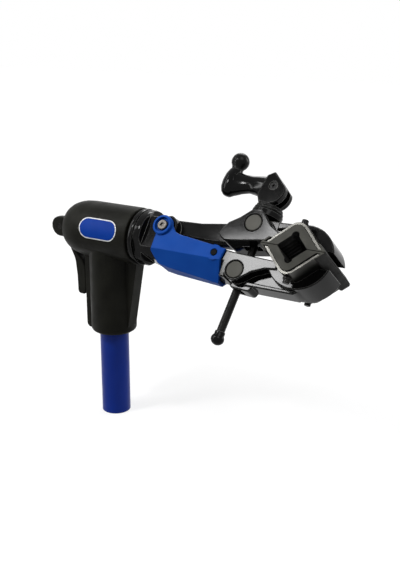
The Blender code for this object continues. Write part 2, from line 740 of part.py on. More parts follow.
for side in (-1, 1):
    hole = rod(COVER_SCREW_RADIUS + FIT, side * (ARM_HALF - 10 * MM), side * (ARM_HALF + 5 * MM), 16)
    cut(fixed, along(hole, "Y", (COVER_SCREW[0], 0, COVER_SCREW[1])), CLAMP)

# Moving arm: lug in the fork, beam, trunnion block with a round hump, web, rim and saddle
moving = part(
    "moving_arm", [along(rod(LUG_RADIUS, -BEAM_HALF, BEAM_HALF, 28), "Y", PIVOT_AT)],
    SATIN_COAT, CLAMP, MOVING,
)
shank = [
    (ARM_PIVOT[0] + 2 * MM, ARM_PIVOT[1] - 3 * MM),
    (ARM_PIVOT[0] + 2 * MM, ARM_PIVOT[1] + 15 * MM),
    (133 * MM, 25 * MM),
    (168 * MM, 29.8 * MM),
    (190 * MM, 33 * MM),
    (190 * MM, 6.5 * MM),
    (150 * MM, 4.4 * MM),
    (118 * MM, 5.6 * MM),
]
SHANK_HALF = BEAM_HALF - 0.5 * MM
add(moving, prism(shank, -SHANK_HALF, SHANK_HALF, EDGE), CLAMP)
block = [
    (200 * MM, 7 * MM, 0),
    (176 * MM, 3.9 * MM, 6 * MM),
    (165.5 * MM, 12 * MM, 5 * MM),
    (174.8 * MM, 27.3 * MM, 0),
    (187 * MM, 35.3 * MM, 0),
]
block += arc(TRUNNION_UP, HUMP_RADIUS, 118, 40, 8)
block += [
    (229 * MM, 30 * MM, 12 * MM),
    (243 * MM, 22.8 * MM, 12 * MM),
    (JAW_X - 22 * MM, 21 * MM, 0),
    (JAW_X - 22 * MM, 12.5 * MM, 0),
    (228 * MM, 11.4 * MM, 0),
]
add(moving, prism(rounded(block), -ARM_HALF, ARM_HALF, EDGE), CLAMP)
web, rim, saddle = jaw_end(1)
add(moving, prism(web, -WEB_HALF, WEB_HALF), CLAMP)
rim[0] = (TRUNNION_UP[0] + 26 * MM, rim[0][1] - 6 * MM)
rim[-1] = (TRUNNION_UP[0] + 26 * MM, rim[-1][1] - 2.5 * MM)
add(moving, prism(rim, -RIM_HALF, RIM_HALF, EDGE), CLAMP)
add(moving, prism(saddle, -SADDLE_HALF, SADDLE_HALF, EDGE), CLAMP)
cut(moving, prism(seat_for_plate(1), -JAW_HALF, JAW_HALF), CLAMP)
PIVOT_BUSH_OUTER = PIVOT_BOLT_RADIUS + RUN + 2 * MM
cut(moving, along(rod(PIVOT_BUSH_OUTER + FIT, -50 * MM, 50 * MM), "Y", PIVOT_AT), CLAMP)
cut(moving, bore(TRUNNION_RADIUS + RUN, 1.4 * MM, ARM_HALF), SCREW)
cut(moving, screw_slot(-40 * MM, 30 * MM, -11.5 * MM, 10.5 * MM), SCREW)

# Arm pivot: bolt, bush and nut across the fork
bush_half = BEAM_HALF - 0.2 * MM
pivot_bush = tube(PIVOT_BUSH_OUTER, PIVOT_BOLT_RADIUS + RUN, -bush_half, bush_half, 16)
part("pivot_bush", [along(pivot_bush, "Y", PIVOT_AT)], BRONZE, CLAMP, MOVING)
HEAD_SEAT = -COVER_HALF - FIT
BOLT_HEAD = 6.6 * MM
BOLT_SOCKET = 3.2 * MM
BOLT_HEIGHT = 3 * MM
bolt = [
    (0, HEAD_SEAT - 0.3 * BOLT_HEIGHT),
    (BOLT_SOCKET, HEAD_SEAT - 0.3 * BOLT_HEIGHT),
    (BOLT_SOCKET, HEAD_SEAT - BOLT_HEIGHT),
    (BOLT_HEAD - 0.8 * MM, HEAD_SEAT - BOLT_HEIGHT),
    (BOLT_HEAD, HEAD_SEAT - BOLT_HEIGHT + 0.8 * MM),
    (BOLT_HEAD, HEAD_SEAT),
    (PIVOT_BOLT_RADIUS, HEAD_SEAT),
    (PIVOT_BOLT_RADIUS, COVER_HALF + 9 * MM),
    (0, COVER_HALF + 9 * MM),
]
part("pivot_bolt", [along(turned(bolt, 18), "Y", PIVOT_AT)], STEEL, CLAMP)
hexagon = rod(9 * MM, COVER_HALF + FIT, COVER_HALF + FIT + 7 * MM, 6)
pivot_nut = part("pivot_nut", [along(hexagon, "Y", PIVOT_AT)], STEEL, CLAMP)
cut(pivot_nut, along(rod(PIVOT_BOLT_RADIUS + FIT, 0, 60 * MM), "Y", PIVOT_AT), CLAMP)

# Cover: a moulded trough round the fixed arm's beam, with an ear round the pivot on each side
COVER_BOTTOM = (-37 * MM, -43 * MM)
skirt = [
    (COVER_START, -24 * MM),
    (COVER_START + 8 * MM, -34.5 * MM),
    (COVER_START + 24 * MM, COVER_BOTTOM[0]),
    (COVER_END - COVER_SLANT, COVER_BOTTOM[1]),
    (COVER_END - 1 * MM, TOP_LINE + 0.6 * MM),
    (118 * MM, 1.4 * MM),
    (110.5 * MM, 4.2 * MM),
]
skirt += arc(ARM_PIVOT, BOSS_RADIUS, 10, 206, 11)
skirt += [(COVER_START, -1.5 * MM)]
cover = part(
    "arm_cover", [prism(skirt, -COVER_HALF, COVER_HALF, COVER_WALL / 3)], COVER_PLASTIC, CLAMP
)
for side in (-1, 1):
    wall = [
        (BOSS_RADIUS - 0.4 * MM, side * (COVER_HALF - 0.6 * COVER_WALL)),
        (BOSS_RADIUS - 0.4 * MM, side * (COVER_HALF + BOSS_RISE - 1 * MM)),
        (BOSS_RADIUS - 1.4 * MM, side * (COVER_HALF + BOSS_RISE)),
        (BOSS_WELL, side * (COVER_HALF + BOSS_RISE)),
        (BOSS_WELL, side * (COVER_HALF - 0.6 * COVER_WALL)),
    ]
    add(cover, along(turned(wall, 20, True), "Y", PIVOT_AT), CLAMP)
for side in (-1, 1):
    outer_plane = COVER_HALF + 21 * MM
    cut(cover, chamfer_wedges(outer_plane, HUB_END - 30 * MM, COVER_END + 30 * MM, side), CLAMP)
for side in (-1, 1):
    pad = rod(9.5 * MM, -COVER_HALF, -COVER_HALF + 8 * MM, 20)
    if side > 0:
        pad = rod(9.5 * MM, COVER_HALF - 8 * MM, COVER_HALF, 20)
    add(cover, along(pad, "Y", (COVER_SCREW[0], 0, COVER_SCREW[1])), CLAMP)
hollow = [
    (HUB_END - 10 * MM, -25.2 * MM + 0.2 * MM),
    (COVER_START + 14 * MM, -33.9 * MM),
    (COVER_END + 30 * MM, -42 * MM),
    (COVER_END + 30 * MM, 60 * MM),
    (HUB_END - 10 * MM, 60 * MM),
]
void = part(
    "arm_cover_void", [prism(hollow, -ARM_HALF - FIT, ARM_HALF + FIT)], COVER_PLASTIC, CLAMP
)
void.hide_render = True
void.hide_viewport = True
void.display_type = "WIRE"
for side in (-1, 1):
    inner_plane = COVER_HALF + 21 * MM - COVER_WALL * math.sqrt(2)
    cut(void, chamfer_wedges(inner_plane, HUB_END - 40 * MM, COVER_END + 60 * MM, side), CLAMP)
hollow_out = cover.modifiers.new("hollow", "BOOLEAN")
hollow_out.operation = "DIFFERENCE"
hollow_out.solver = "EXACT"
hollow_out.object = void
cut(cover, along(rod(PIVOT_BOLT_RADIUS + FIT, -50 * MM, 50 * MM), "Y", PIVOT_AT), CLAMP)
SINK = 1.4 * MM
screw_at = (COVER_SCREW[0], 0, COVER_SCREW[1])
cut(cover, along(rod(COVER_SCREW_RADIUS + FIT, -50 * MM, 50 * MM, 16), "Y", screw_at), CLAMP)
for side in (-1, 1):
    pocket = rod(4.6 * MM, COVER_HALF - SINK, COVER_HALF + 5 * MM, 20)
    if side < 0:
        pocket = rod(4.6 * MM, -COVER_HALF - 5 * MM, -COVER_HALF + SINK, 20)
    cut(cover, along(pocket, "Y", screw_at), CLAMP)
for side, name in ((-1, "cover_screw_near"), (1, "cover_screw_far")):
    low = COVER_HALF - SINK + FIT
    profile = [
        (0, side * (ARM_HALF - 8 * MM)),
        (COVER_SCREW_RADIUS, side * (ARM_HALF - 8 * MM)),
        (COVER_SCREW_RADIUS, side * low),
        (4.2 * MM, side * low),
        (3.6 * MM, side * (COVER_HALF + 0.3 * MM)),
        (0, side * (COVER_HALF + 0.3 * MM)),
    ]
    part(name, [along(turned(profile, 12), "Y", screw_at)], BLACK_STEEL, CLAMP)

# Trunnions: round bars across the arms, each with a cross hole for the screw
for name, where, carrier in (
    ("upper_trunnion", SCREW, SCREW),
    ("lower_trunnion", NUT, NUT),
):
    end = ARM_HALF - 0.3 * MM
    profile = [
        (0, -end),
        (TRUNNION_RADIUS - 0.7 * MM, -end),
        (TRUNNION_RADIUS, -end + 0.7 * MM),
        (TRUNNION_RADIUS, end - 0.7 * MM),
        (TRUNNION_RADIUS - 0.7 * MM, end),
        (0, end),
    ]
    trunnion = part(name, [along(turned(profile, 22), "Y")], STEEL, where, carrier)
    cut(trunnion, rod(SCREW_RADIUS + RUN, -20 * MM, 20 * MM, 20), where)

# Thrust stack under the cam: saddle collar that rides on the hump, and two washers
collar_low = 15.6 * MM
collar_edge = 1.2 * MM
profile = [
    (SCREW_RADIUS + RUN, collar_low),
    (COLLAR_RADIUS, collar_low),
    (COLLAR_RADIUS, COLLAR_TOP - collar_edge),
    (COLLAR_RADIUS - collar_edge, COLLAR_TOP),
    (SCREW_RADIUS + RUN, COLLAR_TOP),
]
collar = part("thrust_saddle", [turned(profile, 24, True)], BLACK_COAT, SCREW)
cut(collar, along(rod(HUMP_RADIUS + RUN, -40 * MM, 40 * MM, 32), "Y"), SCREW)
level = COLLAR_TOP + FIT
washers = (("lower_washer", COLLAR_RADIUS - 1 * MM), ("upper_washer", COLLAR_RADIUS - 2.4 * MM))
for name, radius in washers:
    profile = [
        (SCREW_RADIUS + RUN, level),
        (radius - 0.8 * MM, level),
        (radius, level + 0.8 * MM),
        (radius, level + WASHER_THICKNESS - 0.8 * MM),
        (radius - 0.8 * MM, level + WASHER_THICKNESS),
        (SCREW_RADIUS + RUN, level + WASHER_THICKNESS),
    ]
    part(name, [turned(profile, 20, True)], BLACK_COAT, SCREW)
    level += WASHER_THICKNESS + FIT
CAM_FLAT = CAM_PIN - level

# Adjusting screw: rod with a flat eye on top for the cam pin, and a stop ball at its lower end
SCREW_LOW = -SPAN - SCREW_TAIL
adjust = part(
    "adjust_screw",
    [rod(SCREW_RADIUS, SCREW_LOW, CAM_PIN - 5 * MM, 24)],
    BLACK_STEEL,
    SCREW,
)
eye = arc((0, CAM_PIN), 8 * MM, -30, 210, 14)
eye += [(-SCREW_RADIUS * 0.9, CAM_PIN - 11 * MM), (SCREW_RADIUS * 0.9, CAM_PIN - 11 * MM)]
add(adjust, prism(eye, -EYE_HALF, EYE_HALF), SCREW)
cut(adjust, along(rod(CAM_PIN_RADIUS + FIT, -20 * MM, 20 * MM), "Y", (0, 0, CAM_PIN)), SCREW)
ball = [(SCREW_RADIUS + FIT, SCREW_LOW + 9 * MM), (SCREW_RADIUS + 1.4 * MM, SCREW_LOW + 9 * MM)]
for step in range(7):
    turn = math.radians(40 - 122 * step / 6)
    ball.append((END_BALL * math.cos(turn), SCREW_LOW + END_BALL * math.sin(turn) * 0.9))
ball += [(0, SCREW_LOW - 0.9 * END_BALL), (0, SCREW_LOW - FIT), (SCREW_RADIUS + FIT, SCREW_LOW - FIT)]
part("screw_end_stop", [turned(ball, 16, True)], BLACK_COAT, SCREW)

# Cam crank: cam cheeks astride the eye, and an arm that swells into the knob's boss
lift = CAM_FLAT
cam_outline = [(-11.5 * MM, -lift, 0), (2.5 * MM, -lift, 0)]
for step in range(1, 9):
    angle = math.radians(8 + (92 - 8) * step / 8)
    radius = lift * 1.004 + (15.6 * MM - lift) * (step / 8) ** 1.15
    cam_outline.append((radius * math.sin(angle), -radius * math.cos(angle), 0))
cam_outline += [
    (-4.5 * MM, 18 * MM, 2 * MM),
    (-13 * MM, 12 * MM, 3 * MM),
    (-16.5 * MM, -14 * MM, 3 * MM),
]
crank = part(
    "crank_cam", [prism(rounded(cam_outline, 2), -CAM_HALF, CAM_HALF, EDGE)], BLACK_COAT, CAM
)


def loft(sections, sides=14):
    """Body through rounded sections (x, z centre, half height, half thickness)."""
    mesh = bmesh.new()
    rows = []
    for x, level_z, high, thick in sections:
        row = []
        for side in range(sides):
            angle = 2 * math.pi * side / sides
            across = math.cos(angle)
            up = math.sin(angle)
            row.append(
                mesh.verts.new(
                    (
                        x,
                        thick * math.copysign(abs(across) ** 0.75, across),
                        level_z + high * math.copysign(abs(up) ** 0.75, up),
                    )
                )
            )
        rows.append(row)
    for low, high_row in zip(rows, rows[1:]):
        for side in range(sides):
            after = (side + 1) % sides
            mesh.faces.new((low[side], low[after], high_row[after], high_row[side]))
    mesh.faces.new(rows[0])
    mesh.faces.new(rows[-1])
    bmesh.ops.recalc_face_normals(mesh, faces=mesh.faces)
    return mesh


BOSS_TOP = 15 * MM              # top of the knob's boss above the cam pin
BOSS_LOW = -20 * MM
middle = (BOSS_TOP + BOSS_LOW) / 2
tall = (BOSS_TOP - BOSS_LOW) / 2
ARM_ROOT = 11 * MM              # the arm's last section, inside the cam cheeks
shapes = [
    (0.04, 0, 0.88, 10 * MM),
    (0.18, 0.6 * MM, 0.83, 9.4 * MM),
    (0.34, 1.8 * MM, 0.68, 8.4 * MM),
    (0.54, 3.4 * MM, 0.61, 8.4 * MM),
    (0.74, 3.4 * MM, 0.68, 9.6 * MM),
    (0.92, 2 * MM, 0.82, 11.4 * MM),
    (1, 1.6 * MM, 0.84, 11.6 * MM),
]
arm_sections = []
for share, raised, height, thick in shapes:
    x = -CRANK_RADIUS + share * (CRANK_RADIUS - ARM_ROOT)
    arm_sections.append((x, middle + raised, tall * height, thick))
add(crank, loft(arm_sections), CAM)
boss = [
    (0, BOSS_LOW),
    (5 * MM, BOSS_LOW + 1.2 * MM),
    (8.6 * MM, BOSS_LOW + 4.4 * MM),
    (11 * MM, BOSS_LOW + 10 * MM),
    (11.8 * MM, BOSS_LOW + 18 * MM),
    (11 * MM, BOSS_TOP - 8 * MM),
    (8.8 * MM, BOSS_TOP - 1.5 * MM),
    (8 * MM, BOSS_TOP),
    (0, BOSS_TOP),
]
add(crank, along(turned(boss, 18), "Z", (-CRANK_RADIUS, 0, 0)), CAM)
room = 34 * MM
slot = [
    (-SCREW_RADIUS - 5 * MM, 9.5 * MM),
    (-SCREW_RADIUS - 1.2 * MM, -room),
    (room, -room),
    (room, 9.5 * MM),
]
cut(crank, prism(slot, -EYE_HALF - RUN, EYE_HALF + RUN), CAM)
cut(crank, along(rod(CAM_PIN_RADIUS + FIT, -30 * MM, 30 * MM), "Y"), CAM)
PIN_HEAD = 5.2 * MM
for side in (-1, 1):
    sink = rod(PIN_HEAD + FIT, CAM_HALF - 3.4 * MM, CAM_HALF + 5 * MM, 24)
    if side < 0:
        sink = rod(PIN_HEAD + FIT, -CAM_HALF - 5 * MM, -CAM_HALF + 3.4 * MM, 24)
    cut(crank, along(sink, "Y"), CAM)
STUD_LOW = -8 * MM
cut(
    crank,
    along(rod(STUD_RADIUS + FIT, STUD_LOW - FIT, 40 * MM, 16), "Z", (-CRANK_RADIUS, 0, 0)),
    CAM,
)
pin_in = CAM_HALF - 3.4 * MM + FIT
pin_out = CAM_HALF - 0.8 * MM
pin = [
    (0, -pin_out + 2 * MM),
    (2.4 * MM, -pin_out + 2 * MM),
    (2.4 * MM, -pin_out),
    (PIN_HEAD, -pin_out),
    (PIN_HEAD, -pin_in),
    (CAM_PIN_RADIUS, -pin_in),
    (CAM_PIN_RADIUS, pin_out),
    (0, pin_out),
]
part("cam_pin", [along(turned(pin, 16), "Y")], STEEL, CAM)
STUD_TOP = BOSS_TOP + 14 * MM
part("knob_stud", [rod(STUD_RADIUS, STUD_LOW, STUD_TOP, 16)], STEEL, KNOB)
ball_z = BOSS_TOP + FIT + 12 * MM
knob = [
    (STUD_RADIUS + RUN, BOSS_TOP + FIT),
    (7.6 * MM, BOSS_TOP + FIT),
    (7.2 * MM, BOSS_TOP + FIT + 1.4 * MM),
]
for step in range(9):
    turn = math.radians(-45 + 135 * step / 8)
    knob.append((max(0, KNOB_RADIUS * math.cos(turn)), ball_z + KNOB_RADIUS * math.sin(turn)))
knob[-1] = (0, ball_z + KNOB_RADIUS)
knob += [(0, STUD_TOP + RUN), (STUD_RADIUS + RUN, STUD_TOP + RUN)]
part("crank_knob", [turned(knob, 18, True)], COMPOSITE, KNOB)

# Jaws: a bent plate, a rubber pad that hooks round its edges, and two screws for each arm
SPLIT = 0.25 * MM
PLATE_LOW = SPLIT + LIP + FIT
NOTCH = 4.4 * MM
RELIEF = 0.9 * MM


def jaw_plate(sign):
    """Bent plate: outline of a V with a rounded ridge."""
    inside = PLATE_INNER
    outside = PLATE_OUTER
    low = sign * PLATE_LOW
    outline = [(JAW_X - outside + PLATE_LOW, low, 0)]
    outline.append((JAW_X, sign * outside, PAD_CORNER + PLATE_THICKNESS + FIT))
    outline.append((JAW_X + outside - PLATE_LOW, low, 0))
    outline.append((JAW_X + inside - PLATE_LOW, low, 0))
    outline.append((JAW_X, sign * inside, PAD_CORNER + FIT))
    outline.append((JAW_X - inside + PLATE_LOW, low, 0))
    return rounded(outline, 6)


def jaw_pad(sign):
    """Rubber pad: V throat with a round relief at its root, and a lip round each plate edge."""
    low = SPLIT
    shelf = PLATE_LOW - FIT
    high = LIP_RISE
    root = THROAT + RELIEF - NOTCH
    meet = 135 + math.degrees(math.acos((THROAT - root) / math.sqrt(2) / NOTCH))
    outline = [
        (JAW_X - LIP_OUTER + high, sign * high, 0),
        (JAW_X - LIP_OUTER + low, sign * low, 0.6 * MM),
        (JAW_X - THROAT + low, sign * low, 0.8 * MM),
    ]
    outline += arc((JAW_X, sign * root), NOTCH, sign * meet, sign * (180 - meet), 12)
    outline += [
        (JAW_X + THROAT - low, sign * low, 0.8 * MM),
        (JAW_X + LIP_OUTER - low, sign * low, 0.6 * MM),
        (JAW_X + LIP_OUTER - high, sign * high, 0),
        (JAW_X + LIP_INNER - high, sign * high, 0),
        (JAW_X + LIP_INNER - shelf, sign * shelf, 0),
        (JAW_X + PAD_OUTER - shelf, sign * shelf, 0),
        (JAW_X, sign * PAD_OUTER, PAD_CORNER),
        (JAW_X - PAD_OUTER + shelf, sign * shelf, 0),
        (JAW_X - LIP_INNER + shelf, sign * shelf, 0),
        (JAW_X - LIP_INNER + high, sign * high, 0),
    ]
    return rounded(outline, 5)


for sign, name, carrier in ((1, "upper", MOVING), (-1, "lower", CLAMP)):
    plate = part(
        name + "_jaw_plate",
        [prism(jaw_plate(sign), -JAW_HALF + 2 * MM, JAW_HALF - 2 * MM)],
        BLACK_COAT,
        CLAMP,
        carrier,
    )
    pad = part(
        name + "_jaw_pad", [prism(jaw_pad(sign), -JAW_HALF, JAW_HALF)], RUBBER, CLAMP, carrier
    )
    ridge = PLATE_OUTER - (PAD_CORNER + PLATE_THICKNESS + FIT) * (math.sqrt(2) - 1)
    for y, place in ((-PAD_SCREW_Y, "near"), (PAD_SCREW_Y, "far")):
        depth = THROAT + 4 * MM
        for body in (plate, pad):
            hole = rod(2.2 * MM + FIT, sign * (depth - FIT), sign * 60 * MM, 14)
            cut(body, along(hole, "Z", (JAW_X, y, 0)), CLAMP)
        profile = [
            (0, sign * depth),
            (2.2 * MM, sign * depth),
            (2.2 * MM, sign * (ridge + FIT)),
            (5 * MM, sign * (ridge + FIT)),
            (5 * MM, sign * (ridge + 2.6 * MM)),
            (3.9 * MM, sign * (ridge + 2.6 * MM)),
            (3.9 * MM, sign * (ridge + 6.6 * MM)),
            (3.3 * MM, sign * (ridge + 7.2 * MM)),
            (0, sign * (ridge + 7.2 * MM)),
        ]
        body = along(turned(profile, 12), "Z", (JAW_X, y, 0))
        part(name + "_pad_screw_" + place, [body], BLACK_STEEL, CLAMP, carrier)
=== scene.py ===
"""Looks of the bike repair stand's head: finishes, small details, light and camera."""

import json
import math

import bmesh
import bpy
from mathutils import Matrix, Vector


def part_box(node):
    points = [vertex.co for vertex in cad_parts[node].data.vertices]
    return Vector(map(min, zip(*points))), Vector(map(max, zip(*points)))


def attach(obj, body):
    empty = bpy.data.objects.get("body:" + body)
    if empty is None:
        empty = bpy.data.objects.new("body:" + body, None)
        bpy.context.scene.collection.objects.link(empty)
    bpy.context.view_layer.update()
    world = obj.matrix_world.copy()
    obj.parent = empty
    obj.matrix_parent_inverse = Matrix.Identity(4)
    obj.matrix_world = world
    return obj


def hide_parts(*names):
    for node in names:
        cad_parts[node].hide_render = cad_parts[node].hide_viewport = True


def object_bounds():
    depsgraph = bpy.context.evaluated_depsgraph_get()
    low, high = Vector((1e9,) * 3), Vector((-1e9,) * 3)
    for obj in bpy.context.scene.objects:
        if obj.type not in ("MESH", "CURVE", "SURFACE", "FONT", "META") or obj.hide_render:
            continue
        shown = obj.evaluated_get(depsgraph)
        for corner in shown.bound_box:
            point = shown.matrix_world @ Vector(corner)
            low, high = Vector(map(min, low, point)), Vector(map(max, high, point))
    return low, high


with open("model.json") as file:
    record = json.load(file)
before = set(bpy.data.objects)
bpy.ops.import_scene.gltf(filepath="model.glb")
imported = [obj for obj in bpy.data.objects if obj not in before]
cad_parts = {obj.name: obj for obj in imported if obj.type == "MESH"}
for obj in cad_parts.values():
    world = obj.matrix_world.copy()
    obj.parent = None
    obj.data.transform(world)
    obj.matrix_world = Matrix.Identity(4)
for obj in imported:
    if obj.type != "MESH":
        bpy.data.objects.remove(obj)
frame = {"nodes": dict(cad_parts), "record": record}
cad_low, cad_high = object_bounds()
nodes = frame["nodes"]
record = frame["record"]
joints = {joint["name"]: joint for joint in record["behaviour"]["joints"]}

MM = 0.001

# Finishes: the span of the noise that colour and roughness follow, and the light grey along edges,
# partly wear and partly painted highlight
NOISE_DETAIL = 1.5
MOTTLE_SPAN = (0.32, 0.68)
SMEAR_SPAN = (0.3, 0.7)
SMEARS_PER_PATCH = 2.3
EDGE_SAMPLES = 8
WEAR_AND_HIGHLIGHT_SPAN = (0.985, 0.86)
WEAR_AND_HIGHLIGHT_COLOUR = (0.42, 0.42, 0.4)

# Sockets of a Mix node that take and give colours
COLOUR_A = 6
COLOUR_B = 7
COLOUR_OUT = 2

# Smooth shading of the solids and of the new pieces
JOIN_DISTANCE = 0.01 * MM
SPLIT_ANGLE = math.radians(36)
FACE_WEIGHT = 100
SHARP_ANGLE = math.radians(40)

# Thread of the adjusting screw, measured along the screw from the upper swivel pin
THREAD_RADIUS = 4.72 * MM
PITCH = 1.9 * MM
RIDGE = 0.34 * MM
RIDGE_SINK = 0.15 * MM
FOOT_HALF = 0.46 * PITCH
CREST_HALF = 0.08 * PITCH
THREAD_FROM = -128 * MM
THREAD_TO = -26 * MM
THREAD_STEPS = 22

# Hexagon sockets of the pivot bolt and the cam pin
SOCKET_SIDES = 24
SOCKET_SHARE = 0.74
SOCKET_FLOOR = 0.08 * MM
BOLT_FACE = 31.05 * MM
BOLT_RECESS_RADIUS = 3.1 * MM
BOLT_RECESS_DEPTH = 1.9 * MM
PIN_FACE = 12.15 * MM
PIN_RECESS_RADIUS = 2.3 * MM
PIN_RECESS_DEPTH = 1.8 * MM

# Rubber jaw pads: each is half of a square that stands on a corner, with a lip along the split
JAW_X = 273.6 * MM
JAW_HALF = 48.5 * MM
THROAT = 17.6 * MM
PAD_WALL = 9.5 * MM
PLATE_ROOM = 3.6 * MM
LIP_WALL = 2 * MM
PAD_OUTER = THROAT + PAD_WALL * math.sqrt(2)
LIP_INNER = PAD_OUTER + PLATE_ROOM * math.sqrt(2)
LIP_OUTER = LIP_INNER + LIP_WALL * math.sqrt(2)
LIP_RISE = 8.5 * MM
LIP_SHELF = 2.25 * MM
LIP_EDGE = 0.8 * MM
LIP_EDGE_FOOT = 0.9 * MM
THROAT_EDGE = 0.7 * MM
THROAT_EDGE_FOOT = 0.5 * MM
SPLIT = 0.25 * MM
NOTCH = 4.4 * MM
NOTCH_STEPS = 16
RELIEF = 0.9 * MM
PAD_CORNER = 9.7 * MM
PAD_CORNER_STEPS = 10
GROOVE = 0.55 * MM
RIB_PITCH = 6.5 * MM
RIB_PROFILE = ((0.30, 0), (0.42, GROOVE), (0.58, GROOVE), (0.70, 0))
PLAIN_END = 7 * MM
PAD_EDGE = 0.35 * MM
PAD_EDGE_STEPS = 2
PAD_EDGE_ANGLE = math.radians(50)
PAD_MERGE = 0.02 * MM

# Plain badge on the barrel
BADGE_X = 4 * MM
BADGE_LENGTH = 58 * MM
BADGE_HEIGHT = 27 * MM
BADGE_UP = math.radians(17)
BADGE_SINK = 0.4 * MM
BADGE_COLUMNS = 56
BADGE_ROWS = 14
BADGE_MERGE = 0.001 * MM
RIM_WIDTH = 1.4 * MM
RIM_RAISE = 0.15 * MM
FIELD_RAISE = 0.25 * MM

# Floor and world: the floor's own glow grows from the first to the second distance
FLOOR_HALF = 6
FLOOR_DROP = 0.5 * MM
FLOOR_GREY = 0.3
GLOW_DISTANCES = (0.3, 2.5)
GLOW_LEVELS = (0.665, 0.87)
AMBIENT = 0.15

# Camera fitted to the photo
PHOTO_WIDTH = 400
FOCAL_PIXELS = 823.21
SENSOR_WIDTH = 36
CAMERA_PLACE = Vector((639.45, -810.0, 508.06)) * MM
LOOK_AT = Vector((133.92, 0, 200.07)) * MM
CAMERA_ROLL = math.radians(0.30)

# Lamps face a point near the middle of the clamp
LAMP_TARGET = LOOK_AT + Vector((80, 0, 50)) * MM
SUN_POWER = 1.2
SUN_ANGLE = math.radians(34)
SUN_WAY = Vector((-0.5, 0.36, -0.95))


# Finishes
def noise(tree, scale):
    """Noise in the object's own space; scale is in features per metre."""
    place = tree.nodes.new("ShaderNodeTexCoord")
    texture = tree.nodes.new("ShaderNodeTexNoise")
    texture.inputs["Scale"].default_value = scale
    texture.inputs["Detail"].default_value = NOISE_DETAIL
    tree.links.new(place.outputs["Object"], texture.inputs["Vector"])
    return texture.outputs["Fac"]


def map_range(tree, value, span, target):
    """Value mapped from one span onto another."""
    node = tree.nodes.new("ShaderNodeMapRange")
    ends = ("From Min", "From Max", "To Min", "To Max")
    for end, number in zip(ends, (*span, *target)):
        node.inputs[end].default_value = number
    tree.links.new(value, node.inputs["Value"])
    return node.outputs["Result"]


def combine(tree, operation, first, second):
    """Result of a Math node on two values."""
    node = tree.nodes.new("ShaderNodeMath")
    node.operation = operation
    tree.links.new(first, node.inputs[0])
    tree.links.new(second, node.inputs[1])
    return node.outputs["Value"]


def worn_and_highlit_edges(tree, colour, rounded, patches, amount):
    """Edges mixed towards a light grey, partly paint rubbed thin and partly painted highlight, where
    the rounded normal leans away from the face's own.
    """
    geometry = tree.nodes.new("ShaderNodeNewGeometry")
    lean = tree.nodes.new("ShaderNodeVectorMath")
    lean.operation = "DOT_PRODUCT"
    tree.links.new(geometry.outputs["Normal"], lean.inputs[0])
    tree.links.new(rounded, lean.inputs[1])
    wear_and_highlight_mask = map_range(tree, lean.outputs["Value"], WEAR_AND_HIGHLIGHT_SPAN, (0, amount))
    mix = tree.nodes.new("ShaderNodeMix")
    mix.data_type = "RGBA"
    tree.links.new(combine(tree, "MULTIPLY", wear_and_highlight_mask, patches), mix.inputs["Factor"])
    tree.links.new(colour, mix.inputs[COLOUR_A])
    mix.inputs[COLOUR_B].default_value = (*WEAR_AND_HIGHLIGHT_COLOUR, 1)
    return mix.outputs[COLOUR_OUT]


def finish(name, dark, light, rough, *, grain, depth, edge=0.8, patch=35,
           metallic=0, specular=0.5, wear_and_highlight=0):
    """Procedural finish: mottled colour, uneven roughness, fine grain, soft edges, and edges lightened
    partly by wear and partly by painted highlight.

    grain and patch are in features per metre, depth and edge in millimetres.
    """
    material = bpy.data.materials.new(name)
    material.use_nodes = True
    tree = material.node_tree
    shader = tree.nodes["Principled BSDF"]
    shader.inputs["Metallic"].default_value = metallic
    shader.inputs["Specular IOR Level"].default_value = specular
    mottle = tree.nodes.new("ShaderNodeValToRGB")
    for stop, place, shade in zip(mottle.color_ramp.elements, MOTTLE_SPAN, (dark, light)):
        stop.position = place
        stop.color = (*shade, 1)
    tree.links.new(noise(tree, patch), mottle.inputs["Fac"])
    smear = noise(tree, patch * SMEARS_PER_PATCH)
    tree.links.new(map_range(tree, smear, SMEAR_SPAN, rough), shader.inputs["Roughness"])
    soft = tree.nodes.new("ShaderNodeBevel")
    soft.samples = EDGE_SAMPLES
    soft.inputs["Radius"].default_value = edge * MM
    bump = tree.nodes.new("ShaderNodeBump")
    bump.inputs["Strength"].default_value = 1
    bump.inputs["Distance"].default_value = depth * MM
    tree.links.new(soft.outputs["Normal"], bump.inputs["Normal"])
    tree.links.new(noise(tree, grain), bump.inputs["Height"])
    tree.links.new(bump.outputs["Normal"], shader.inputs["Normal"])
    colour = mottle.outputs["Color"]
    # Light grey along edges: partly paint rubbed thin, partly a painted highlight
    if wear_and_highlight:
        colour = worn_and_highlit_edges(tree, colour, soft.outputs["Normal"], smear, wear_and_highlight)
    tree.links.new(colour, shader.inputs["Base Color"])
    return material


